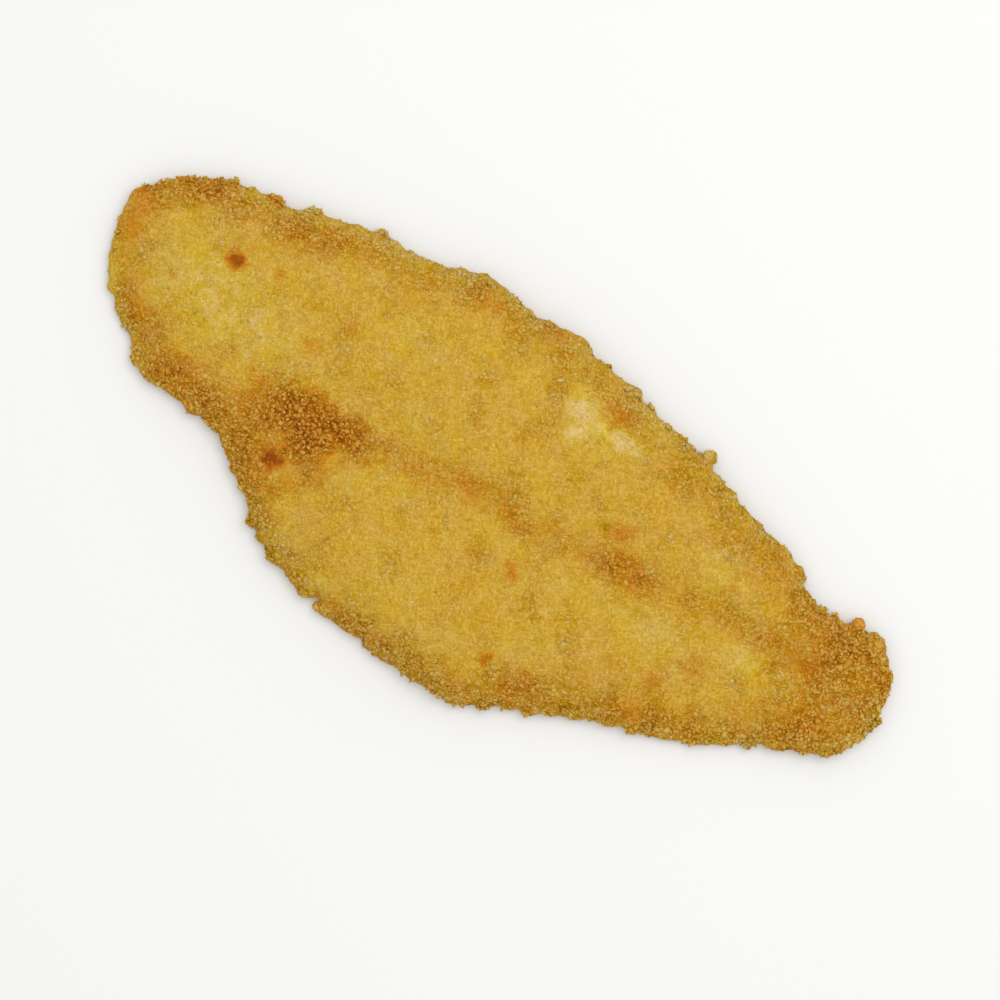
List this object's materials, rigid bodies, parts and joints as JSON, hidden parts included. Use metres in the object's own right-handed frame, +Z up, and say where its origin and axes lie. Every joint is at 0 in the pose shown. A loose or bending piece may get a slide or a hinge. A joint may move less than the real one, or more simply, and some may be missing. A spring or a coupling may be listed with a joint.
{
  "type": "fried fish fillet",
  "caption": "Whole breaded fish fillet, fried golden, long and flat with a blunt head end, two lobes along a shallow crease and a narrow browned tail.",
  "frame": {"origin": "on the resting plane, under the middle of the fillet's footprint", "axes": "+X from the head end to the tail, +Y to the thick dorsal edge, +Z up"},
  "size_m": [0.2434, 0.1008, 0.0159],
  "materials": {
    "crust": "golden fried breadcrumb crust, grainy, slightly oily, browner at the rim, the tail and one sunken patch"
  },
  "bodies": {
    "root": {"fillet": "crust"}
  },
  "joints": []
}
